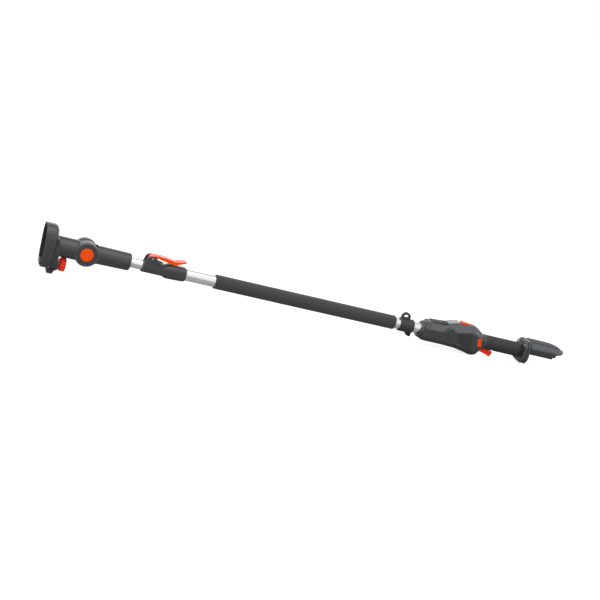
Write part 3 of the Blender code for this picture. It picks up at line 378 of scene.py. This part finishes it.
def shaped(node_name, mesh, sharp=40.0):
    """A detailed piece modelled from scratch in place of one CAD node."""
    piece = finish_piece(mesh_object(node_name, mesh), [node_name])
    piece.data.set_sharp_from_angle(angle=math.radians(sharp))
    return piece


def copied(node_name):
    """A welded copy of a CAD node's mesh, in millimetres."""
    mesh = bmesh.new()
    mesh.from_mesh(NODES[node_name].data)
    bmesh.ops.scale(mesh, vec=(1 / MM, 1 / MM, 1 / MM), verts=mesh.verts)
    bmesh.ops.remove_doubles(mesh, verts=mesh.verts, dist=0.01)
    return mesh


def moulded(node_name, voxel, adds=(), cuts=(), rounds=4, keep=0.3, change=None):
    """A CAD node rebuilt as a smooth skin with softly rounded edges: pieces are added and cut, then it
    is meshed again on a grid of `voxel`, smoothed `rounds` times, changed point by point with `change`,
    and thinned to `keep` of its faces."""
    piece = mesh_object(node_name, copied(node_name))
    attributes = piece.data.attributes
    if attributes.get("custom_normal"):
        attributes.remove(attributes["custom_normal"])
    steps = [("UNION", mesh) for mesh in adds] + [("DIFFERENCE", mesh) for mesh in cuts]
    tools = add_tools(piece, steps)
    grid = piece.modifiers.new("grid", "REMESH")
    grid.mode, grid.voxel_size = "VOXEL", voxel * MM
    smooth = piece.modifiers.new("smooth", "SMOOTH")
    smooth.factor, smooth.iterations = 0.5, rounds
    baked(piece, tools)
    if change:
        change_points(piece.data, change)
    # Dark moulded pieces get a painted highlight along their outward edges.
    if SLOTS[node_name] == "moulded_plastic":
        paint_edge_highlights(piece.data)
    if keep < 1:
        thin = piece.modifiers.new("thin", "DECIMATE")
        thin.ratio = keep
        baked(piece)
    return finish_piece(piece, [node_name])


def points_of(data):
    """The places, in millimetres, and the normals of a mesh's points."""
    places = np.empty(len(data.vertices) * 3, np.float32)
    normals = np.empty(len(data.vertices) * 3, np.float32)
    data.vertices.foreach_get("co", places)
    data.vertices.foreach_get("normal", normals)
    return places.reshape(-1, 3) / MM, normals.reshape(-1, 3)


def change_points(data, change):
    """Moves points to the places that change(places, normals) gives, and stores the amount of painted
    highlight that it gives for each.
    """
    moved, painted_light_values = change(*points_of(data))
    data.vertices.foreach_set("co", (moved * MM).astype(np.float32).ravel())
    painted_light = data.attributes.new("painted_light", "FLOAT", "POINT")
    painted_light.data.foreach_set("value", painted_light_values.astype(np.float32))
    data.update()


def paint_edge_highlights(data):
    """Paints a highlight on the outward edges, where light would catch them."""
    count = len(data.vertices)
    places, normals = points_of(data)
    ends = np.empty(len(data.edges) * 2, np.int32)
    data.edges.foreach_get("vertices", ends)
    one, two = ends.reshape(-1, 2).T
    step = places[two] - places[one]
    long = np.maximum((step * step).sum(1), 1e-6)
    bend = np.bincount(one, (step * normals[one]).sum(1) / long, count)
    bend += np.bincount(two, -(step * normals[two]).sum(1) / long, count)
    bend /= np.maximum(np.bincount(one, minlength=count) + np.bincount(two, minlength=count), 1)
    for _ in range(2):
        total = np.bincount(one, bend[two], count) + np.bincount(two, bend[one], count)
        near = np.bincount(one, minlength=count) + np.bincount(two, minlength=count)
        bend = 0.5 * bend + 0.5 * total / np.maximum(near, 1)
    painted_light = data.attributes.get("painted_light") or data.attributes.new("painted_light", "FLOAT", "POINT")
    values = np.empty(count, np.float32)
    painted_light.data.foreach_get("value", values)
    values = np.maximum(values, ease(-bend, *EDGE_BEND))
    painted_light.data.foreach_set("value", values.astype(np.float32))


def ease(value, low, high):
    """0 below `low`, 1 above `high`, and smooth between."""
    t = np.clip((value - low) / (high - low), 0, 1)
    return t * t * (3 - 2 * t)


def line_at(x, points):
    """The height of a bent line at each x."""
    return np.interp(x, [p[0] for p in points], [p[1] for p in points])


# ---------------------------------------------------------------- detailed pieces

REBUILT = set()
SLOTS = {name: node.data.materials[0].name for name, node in NODES.items()}


def build_head():
    moulded("head_collar", 0.7, rounds=3, keep=0.3)
    moulded("rear_casing", 0.7, rounds=5, keep=0.25)
    chamfers = []
    for side in (-1, 1):
        cone = [(side * 25.2, 33.9), (side * 26.0, 34.2), (side * 28.0, 37.0), (side * 40.0, 37.0)]
        chamfers.append(turned(cone, "Y", (PIVOT_X, 0)))
    moulded("neck_fork", 0.7, cuts=chamfers, rounds=2, keep=0.3)
    moulded("latch_hook", 0.5, rounds=3, keep=0.4)
    moulded("lock_knob", 0.5, rounds=2, keep=0.5)


def build_pivot():
    for name, side, bore in (("pivot_cover_near", -1, 18.4), ("pivot_cover_far", 1, 10.6)):
        face = [(25.3, 33.0), (26.9, 33.0), (27.5, 32.75), (29.3, 29.9), (29.8, 29.3)]
        face += [(29.8, 28.2), (29.45, 27.8), (29.4, bore + 2.4), (29.5, bore + 1.6)]
        face += [(29.5, bore + 0.6), (29.2, bore)]
        face += [(25.3, bore)]
        profile = [(side * along, radius) for along, radius in face]
        cover = shaped(name, turned_ring(profile, "Y", (PIVOT_X, 0), 96), sharp=30)
        # A painted highlight on each cover's bevel.
        change_points(cover.data, cover_bevel_highlight)
    rings = [(-31.2, 16.5), (-31.0, 17.1), (-30.4, 17.6), (-29.6, 17.9), (-26.0, 18.0)]
    dots = [(0, 0)]
    for radius, count in ((4.2, 6), (8.2, 12), (12.2, 18)):
        for k in range(count):
            turn = 2 * math.pi * (k + 0.5) / count
            dots.append((radius * math.cos(turn), radius * math.sin(turn)))
    button = mesh_object("button", turned(rings, "Y", (PIVOT_X, 0), 72))
    dimple = [(-31.8, 0.95), (-31.15, 0.9), (-30.7, 0.5)]
    steps = [("DIFFERENCE", turned(dimple, "Y", (PIVOT_X + u, v), 12)) for u, v in dots]
    baked(button, add_tools(button, steps))
    finish_piece(button, ["tilt_button"])
    button.data.set_sharp_from_angle(angle=math.radians(50))


def cover_bevel_highlight(places, normals):
    """A painted highlight on the bevel round a pivot cover, which makes it lighter than its face."""
    radius = np.hypot(places[:, 0] - PIVOT_X, places[:, 2])
    return places, 0.85 * ease(radius, 28.3, 29.4) * ease(np.abs(places[:, 1]), 27.0, 27.4)


def build_arm():
    moulded("arm_left", 0.8, rounds=3, keep=0.25)
    moulded("arm_right", 0.8, rounds=3, keep=0.25)


def span(node_name, axis):
    """A node's lowest and highest place along one axis, in millimetres."""
    low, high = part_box(node_name)
    return low[axis] / MM, high[axis] / MM


def build_tubes():
    for name, outer, bore in (("inner_tube", 13.5, 12.0), ("outer_tube", 16.0, 15.0)):
        front, rear = span(name, 0)
        profile = [(front, outer - 0.25), (front + 0.25, outer), (rear - 0.25, outer)]
        profile += [(rear, outer - 0.25), (rear, bore), (front, bore)]
        shaped(name, turned_ring(profile, "X", (0, 0), 96))


def build_foam():
    """The foam sleeve, with crowned ends."""
    front, rear = span("foam_grip", 0)
    radius, bore = FOAM_RADIUS, FOAM_BORE
    profile = [(front, bore), (front, radius - 1.6), (front + 0.3, radius - 0.9)]
    profile += [(front + 0.9, radius - 0.35), (front + 1.8, radius - 0.06)]
    profile += [(front + 5.44, radius - 0.05), (rear - 6.84, radius - 0.05)]
    profile += [(rear - 3.2, radius - 0.1), (rear - 1.8, radius - 0.7), (rear - 0.8, radius - 1.6)]
    profile += [(rear, radius - 3.0), (rear, bore)]
    mesh = turned_ring(profile, "X", (0, 0), 72)
    foam = shaped("foam_grip", mesh, sharp=60)


def build_clamp():
    """The clamp, whose lever has a pocket in each side."""
    moulded("clamp_body", 0.7, rounds=3, keep=0.3)
    pockets = []
    side = [(295, 34.4), (304, 34.1), (323, 31.6), (331, 29.9), (334, 27.2)]
    side += [(331, 25.2), (322, 25.9), (301, 29.6)]
    for low, high in ((-20.0, -11.9), (11.9, 20.0)):
        pockets.append(prism(side, "Y", low, high))
    moulded("clamp_lever", 0.45, cuts=pockets, rounds=2, keep=0.4)
    moulded("clamp_shoe", 0.6, rounds=2, keep=0.4)


def build_strap_clamp():
    grooves = []
    for x in (1029.0, 1047.5):
        outline = [(x, 22.0), (x + 1.6, 22.0), (x + 1.6, 19.2), (x, 19.2)]
        grooves.append(turned_ring(outline, "X"))
    moulded("strap_clamp", 0.5, cuts=grooves, rounds=2, keep=0.35)


def build_handle():
    """The housing's shells, whose facet above `boundary` is sunk and painted lighter, as lit from above,
    and what is round them.
    """
    boundary = [(1094, 15), (1135, 13), (1150, 17), (1161, 23), (1173, 29), (1185, 26)]
    boundary += [(1195, 21), (1239, 31), (1252, 30), (1268, 24), (1280, 18), (1292, 14)]
    for name, side in (("handle_left", -1), ("handle_right", 1)):

        def facet(places, normals, side=side):
            x, y, z = places.T
            above = z - line_at(x, boundary)
            outward = ease(normals[:, 1] * side, 0.05, 0.35) * ease(np.abs(y), 8.0, 12.0)
            ends = ease(x, 1112.0, 1113.2) * (1 - ease(x, 1268.0, 1278.0))
            inset = ease(x, 1102.5, 1103.5) * (1 - ease(x, 1110.5, 1111.5))
            inset *= ease(z, 13.5, 14.5) * (1 - ease(z, 24.5, 25.5)) * outward
            sunk = ease(above, 0.0, 1.4) * outward * ends
            depth = 0.8 * sunk + 1.3 * inset
            # The second value paints the facet above the boundary lighter: a painted highlight from the
            # light above.
            return places - normals * depth[:, None], ease(above, 0.2, 1.2) * outward * ends

        low, high = sorted((side * 18.0, side * 33.4))
        boss = turned([(low, 15.0), (high, 15.0)], "Y", (1173, 14), 48)
        moulded(name, 0.9, adds=[boss], rounds=3, keep=1.0, change=facet)
    moulded("nose_ring", 0.6, rounds=2, keep=0.4)
    moulded("grip_collar", 0.6, rounds=2, keep=0.4)
    moulded("trigger", 0.5, rounds=3, keep=0.4)
    moulded("thumb_button", 0.5, rounds=3, keep=0.4)
    moulded("side_button", 0.5, rounds=2, keep=0.4)
    moulded("top_strip", 0.6, rounds=2, keep=0.4)
    moulded("grip_sleeve", 0.6, rounds=2, keep=0.5)


def build_foot():
    moulded("rear_flange", 0.7, rounds=3, keep=0.3)
    moulded("foot_cover", 0.7, rounds=4, keep=0.35, change=foot_groove_and_highlight)
    moulded("foot_pad", 0.5, rounds=1, keep=0.4)
    moulded("rail_frame", 0.8, rounds=2, keep=0.3)


def foot_groove_and_highlight(places, normals):
    """A groove below the cover's shoulder, and a painted highlight on the bevel above it that faces up.
    """
    z = places[:, 2]
    outside = ease(np.abs(places[:, 1]), 8.0, 14.0) * (1 - ease(places[:, 0], 1536.0, 1548.0))
    groove = outside * (1 - ease(np.abs(z - 26.2), 0.3, 1.1)) * ease(normals[:, 2], -0.2, 0.0)
    # The bevel that faces up gets a painted highlight.
    bevel = ease(normals[:, 2], 0.35, 0.6) * (1 - ease(normals[:, 2], 0.9, 0.97))
    return places - normals * (0.5 * groove)[:, None], 0.9 * bevel * ease(z, 26.5, 27.5)


def build_springs():
    """Each spring is held at one end and pressed by a button at the other; it is a fixed coil of round
    wire that does not flatten.
    """
    for name, axis, centre, radius, wire, low, high, turns, joint, held, travel in (
        ("button_spring", "Y", (PIVOT_X, 0), 5.5, 0.7, -21.5, -3.3, 6, "tilt_button_press", -3.3, 4.0),
        ("thumb_spring", "Z", (1224.0, 0), 3.0, 0.5, 33.9, 42.6, 4, "thumb_press", 33.9, 2.6),
        ("side_spring", "Y", (1275.0, 5.0), 2.6, 0.5, -21.6, -13.9, 4, "side_press", -13.9, 3.1),
        ("trigger_spring", "Z", (1314.0, 0), 2.4, 0.4, -5.6, -1.9, 3, "trigger_squeeze", -1.9, 3.2),
    ):
        rows = []
        for k in range(turns * 24 + 1):
            angle = 2 * math.pi * k / 24
            along = low + wire + (high - low - 2 * wire) * k / (turns * 24)
            row = []
            for s in range(10):
                tilt = 2 * math.pi * s / 10
                out = radius + wire * math.cos(tilt)
                u, v = centre[0] + out * math.cos(angle), centre[1] + out * math.sin(angle)
                row.append(place(axis, along + wire * math.sin(tilt), u, v))
            rows.append(row)
        spring = shaped(name, skin(rows), sharp=60)
        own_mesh(spring)


def build_pieces():
    build_head()
    build_pivot()
    build_arm()
    build_tubes()
    build_foam()
    build_clamp()
    build_strap_clamp()
    build_handle()
    build_foot()
    build_springs()


# ---------------------------------------------------------------- camera, light and floor


def make_camera():
    data = bpy.data.cameras.new("camera")
    data.lens = CAMERA_LENS
    data.sensor_width = 36.0
    data.clip_end = 100.0
    camera = bpy.data.objects.new("camera", data)
    bpy.context.scene.collection.objects.link(camera)
    turn = Matrix.Rotation(math.radians(-CAMERA_TURN), 4, "Z")
    dip = Matrix.Rotation(math.radians(90 - CAMERA_DIP), 4, "X")
    roll = Matrix.Rotation(math.radians(CAMERA_ROLL), 4, "Z")
    camera.matrix_world = Matrix.Translation(CAMERA_PLACE) @ turn @ dip @ roll
    bpy.context.scene.camera = camera


def area_light(name, place, target, size, power, length):
    data = bpy.data.lights.new(name, "AREA")
    data.energy = power
    data.shape = "RECTANGLE"
    data.size = size
    data.size_y = length
    light = bpy.data.objects.new(name, data)
    bpy.context.scene.collection.objects.link(light)
    light.location = place
    light.rotation_mode = "QUATERNION"
    light.rotation_quaternion = (Vector(target) - Vector(place)).to_track_quat("-Z", "Y")


def make_floor():
    """A pale floor that the head's lug and the belly of the handle rest on."""
    lug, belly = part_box("rear_casing"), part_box("handle_left")
    front = Vector(((lug[0].x + lug[1].x) / 2, 0, lug[0].z))
    rear = Vector((BELLY_X, 0, belly[0].z))
    slope = math.atan2(rear.z - front.z, rear.x - front.x)
    data = bpy.data.meshes.new("floor")
    signs = [(-1, -1), (1, -1), (1, 1), (-1, 1)]
    data.from_pydata([(x * FLOOR_HALF, y * FLOOR_HALF, 0) for x, y in signs], [], [(0, 1, 2, 3)])
    floor = bpy.data.objects.new("floor", data)
    bpy.context.scene.collection.objects.link(floor)
    below = Matrix.Translation(front - Vector((0, 0, 0.0005)))
    floor.matrix_world = below @ Matrix.Rotation(-slope, 4, "Y")
    made = bpy.data.materials.new("finish_floor")
    made.use_nodes = True
    tree = made.node_tree
    tree.nodes.remove(tree.nodes["Principled BSDF"])
    matt = tree.nodes.new("ShaderNodeBsdfDiffuse")
    matt.inputs["Color"].default_value = (FLOOR_LIT, FLOOR_LIT, FLOOR_LIT, 1.0)
    path = tree.nodes.new("ShaderNodeLightPath")
    glow = tree.nodes.new("ShaderNodeEmission")
    seen = mapped(tree, path.outputs["Is Camera Ray"], 0.0, FLOOR_GLOW, 0.0, 1.0)
    tree.links.new(seen, glow.inputs["Strength"])
    both = tree.nodes.new("ShaderNodeAddShader")
    tree.links.new(matt.outputs["BSDF"], both.inputs[0])
    tree.links.new(glow.outputs["Emission"], both.inputs[1])
    tree.links.new(both.outputs["Shader"], tree.nodes["Material Output"].inputs["Surface"])
    data.materials.append(made)


def make_world():
    """A pale studio: bright overhead and in front, dimmer behind, and white where the camera sees it."""
    world = bpy.data.worlds.new("studio")
    bpy.context.scene.world = world
    world.use_nodes = True
    tree = world.node_tree
    place = tree.nodes.new("ShaderNodeTexCoord")
    split = tree.nodes.new("ShaderNodeSeparateXYZ")
    tree.links.new(place.outputs["Generated"], split.inputs["Vector"])
    far = mapped(tree, split.outputs["Z"], SKY_HORIZON, SKY_BACK, 0.14, 0.50)
    near = mapped(tree, split.outputs["Z"], 0.75 * SKY_FRONT, SKY_FRONT, 0.0, 0.35)
    light = tree.nodes.new("ShaderNodeMix")
    tree.links.new(mapped(tree, split.outputs["Y"], 0.0, 1.0, -0.2, 0.5), light.inputs["Factor"])
    tree.links.new(near, light.inputs["A"])
    tree.links.new(far, light.inputs["B"])
    path = tree.nodes.new("ShaderNodeLightPath")
    pick = tree.nodes.new("ShaderNodeMix")
    pick.inputs["B"].default_value = 1.0
    tree.links.new(path.outputs["Is Camera Ray"], pick.inputs["Factor"])
    tree.links.new(light.outputs["Result"], pick.inputs["A"])
    tree.links.new(pick.outputs["Result"], tree.nodes["Background"].inputs["Strength"])
    tree.nodes["Background"].inputs["Color"].default_value = (1.0, 1.0, 1.0, 1.0)


def make_studio():
    make_world()
    make_floor()
    middle = (0.77, 0.0, 0.0)
    area_light("overhead", (0.3, -0.9, 2.4), middle, 1.0, OVERHEAD_POWER, 3.0)
    bpy.context.scene.view_settings.view_transform = "Standard"


make_camera()
build_pieces()
dress_nodes(REBUILT)
make_studio()
